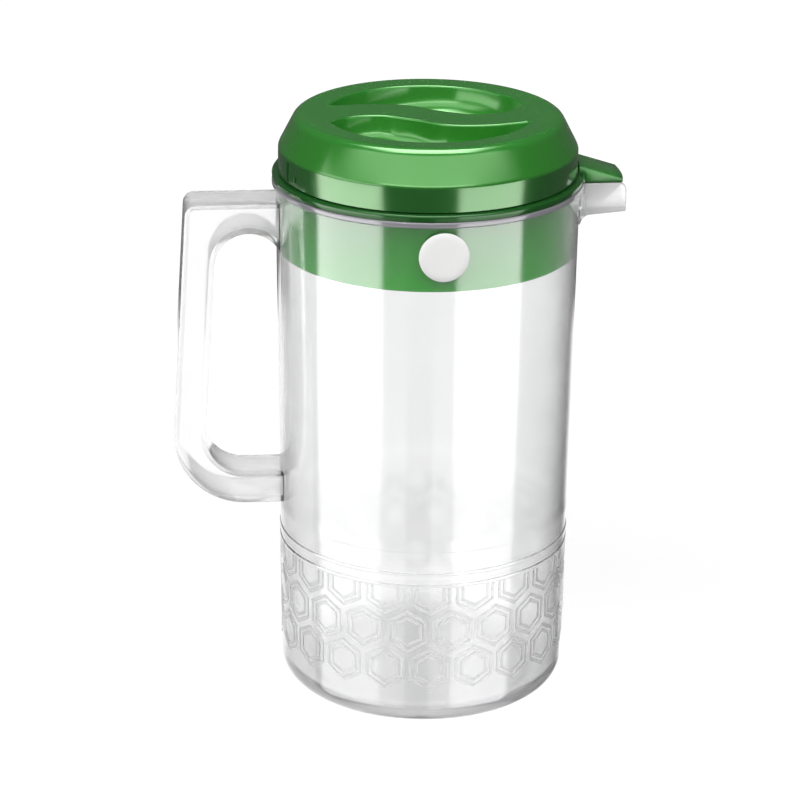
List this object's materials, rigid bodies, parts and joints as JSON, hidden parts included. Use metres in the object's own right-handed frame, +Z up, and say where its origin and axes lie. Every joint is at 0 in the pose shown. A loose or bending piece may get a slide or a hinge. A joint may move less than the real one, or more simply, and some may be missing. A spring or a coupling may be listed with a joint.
{
  "type": "lidded pitcher",
  "caption": "Clear plastic jug with a short spout, an open D-shaped handle and a green lid whose domed cap turns by an S-shaped grip.",
  "frame": {"origin": "middle of the footprint box on the table, so the jug's own axis stands 12.4 mm towards +X", "axes": "+Z up along the jug's axis, +X towards the spout, -X towards the handle, -Y the side with the round label"},
  "size_m": [0.1868, 0.128, 0.249],
  "materials": {
    "clear_plastic": "clear, slightly milky, glossy",
    "ring_green_plastic": "green, glossy",
    "cap_green_plastic": "green, glossy",
    "white_label": "white, satin"
  },
  "bodies": {
    "jug": {"jug_body": "clear_plastic", "round_label": "white_label"},
    "ring": {"lid_ring": "ring_green_plastic"},
    "cap": {"lid_cap": "cap_green_plastic"}
  },
  "joints": [
    {"name": "lid_lift", "type": "slide", "parent": "jug", "child": "ring", "axis": [0, 0, 1], "range_m": [0, 0.06]},
    {"name": "cap_turn", "type": "hinge", "parent": "ring", "child": "cap", "pos_m": [0.0124, 0, 0.2247], "axis": [0, 0, 1], "range_deg": [-90, 90]}
  ]
}
